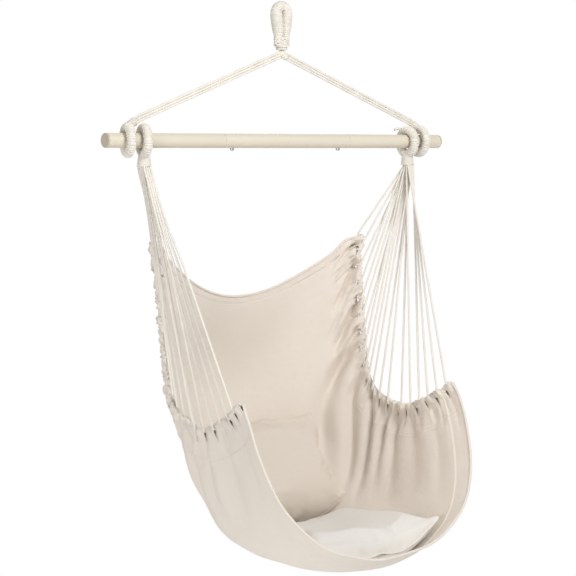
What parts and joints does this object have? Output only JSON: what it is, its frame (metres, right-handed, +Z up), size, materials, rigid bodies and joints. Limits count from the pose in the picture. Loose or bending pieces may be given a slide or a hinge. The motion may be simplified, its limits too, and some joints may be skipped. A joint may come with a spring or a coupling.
{
  "type": "hammock chair",
  "caption": "Cotton hammock chair: a fabric sling with loose cushions, hung by fanned cords from a spreader bar and one wrapped rope eye.",
  "frame": {"origin": "inside of the top of the hanging eye, where a hook bears", "axes": "+Z up, the chair faces -Y, and the spreader bar runs along X"},
  "size_m": [1.0068, 0.5921, 1.3003],
  "materials": {
    "rope_cotton": "soft cotton rope and cord, matt",
    "canvas": "woven cotton canvas, matt",
    "cushion_cotton": "cotton cushion cover, matt",
    "bar_paint": "cream powder coat, satin",
    "cap_plastic": "moulded plastic, matt",
    "steel": "plated steel"
  },
  "bodies": {
    "hanging_eye": {"hanging_eye_core": "rope_cotton", "hanging_eye_wrap": "rope_cotton", "neck_whipping": "rope_cotton"},
    "neck_swivel": {"neck_swivel_band": "rope_cotton"},
    "neck_sway": {"neck_knot": "rope_cotton"},
    "suspension": {"left_rope_eye_core": "rope_cotton", "left_rope_eye_wrap": "rope_cotton", "left_rope_collar": "rope_cotton", "left_suspension_rope_1": "rope_cotton", "left_suspension_rope_2": "rope_cotton", "left_suspension_rope_3": "rope_cotton", "right_rope_eye_core": "rope_cotton", "right_rope_eye_wrap": "rope_cotton", "right_rope_collar": "rope_cotton", "right_suspension_rope_1": "rope_cotton", "right_suspension_rope_2": "rope_cotton", "right_suspension_rope_3": "rope_cotton"},
    "spreader_bar": {"bar_left_tube": "bar_paint", "bar_middle_tube": "bar_paint", "bar_right_tube": "bar_paint", "bar_left_cap": "cap_plastic", "bar_right_cap": "cap_plastic", "button_spring_left": "steel", "button_spring_right": "steel"},
    "left_button": {"snap_button_left": "steel"},
    "right_button": {"snap_button_right": "steel"},
    "sling_seat": {"left_seat_eye_core": "rope_cotton", "left_seat_eye_wrap": "rope_cotton", "left_seat_collar": "rope_cotton", "left_hem_rope": "rope_cotton", "left_ear_cord": "rope_cotton", "left_seat_cord_1": "rope_cotton", "left_seat_cord_2": "rope_cotton", "left_seat_cord_3": "rope_cotton", "left_seat_cord_4": "rope_cotton", "left_seat_cord_5": "rope_cotton", "left_seat_cord_6": "rope_cotton", "left_seat_cord_7": "rope_cotton", "left_seat_cord_8": "rope_cotton", "left_seat_cord_9": "rope_cotton", "right_seat_eye_core": "rope_cotton", "right_seat_eye_wrap": "rope_cotton", "right_seat_collar": "rope_cotton", "right_hem_rope": "rope_cotton", "right_ear_cord": "rope_cotton", "right_seat_cord_1": "rope_cotton", "right_seat_cord_2": "rope_cotton", "right_seat_cord_3": "rope_cotton", "right_seat_cord_4": "rope_cotton", "right_seat_cord_5": "rope_cotton", "right_seat_cord_6": "rope_cotton", "right_seat_cord_7": "rope_cotton", "right_seat_cord_8": "rope_cotton", "right_seat_cord_9": "rope_cotton", "sling_fabric": "canvas", "front_edge_piping": "canvas", "top_edge_piping": "canvas"},
    "seat_cushion": {"seat_cushion": "cushion_cotton"},
    "back_cushion": {"back_cushion": "cushion_cotton"}
  },
  "joints": [
    {"name": "neck_twist", "type": "hinge", "parent": "hanging_eye", "child": "neck_swivel", "pos_m": [0, 0, -0.09876], "axis": [0, 0, 1], "range_deg": [-90, 90]},
    {"name": "side_sway", "type": "hinge", "parent": "neck_swivel", "child": "neck_sway", "pos_m": [0, 0, -0.09876], "axis": [0, 1, 0], "range_deg": [-12, 12]},
    {"name": "front_swing", "type": "hinge", "parent": "neck_sway", "child": "suspension", "pos_m": [0, 0, -0.09876], "axis": [1, 0, 0], "range_deg": [-30, 30]},
    {"name": "bar_roll", "type": "hinge", "parent": "suspension", "child": "spreader_bar", "pos_m": [0, 0, -0.3], "axis": [1, 0, 0], "continuous": true},
    {"name": "left_button_press", "type": "slide", "parent": "spreader_bar", "child": "left_button", "axis": [0, 0, 1], "range_m": [0, 0.006], "stiffness_N_per_m": 600, "springref_m": -0.004, "deforming": ["button_spring_left"]},
    {"name": "right_button_press", "type": "slide", "parent": "spreader_bar", "child": "right_button", "axis": [0, 0, 1], "range_m": [0, 0.006], "stiffness_N_per_m": 600, "springref_m": -0.004, "deforming": ["button_spring_right"]},
    {"name": "seat_tilt", "type": "hinge", "parent": "suspension", "child": "sling_seat", "pos_m": [0, 0, -0.3], "axis": [1, 0, 0], "range_deg": [-25, 25]},
    {"name": "seat_cushion_lift", "type": "slide", "parent": "sling_seat", "child": "seat_cushion", "axis": [0, -0.5, 0.866], "range_m": [0, 0.25]},
    {"name": "back_cushion_lift", "type": "slide", "parent": "sling_seat", "child": "back_cushion", "axis": [0, 0, 1], "range_m": [0, 0.25]}
  ]
}
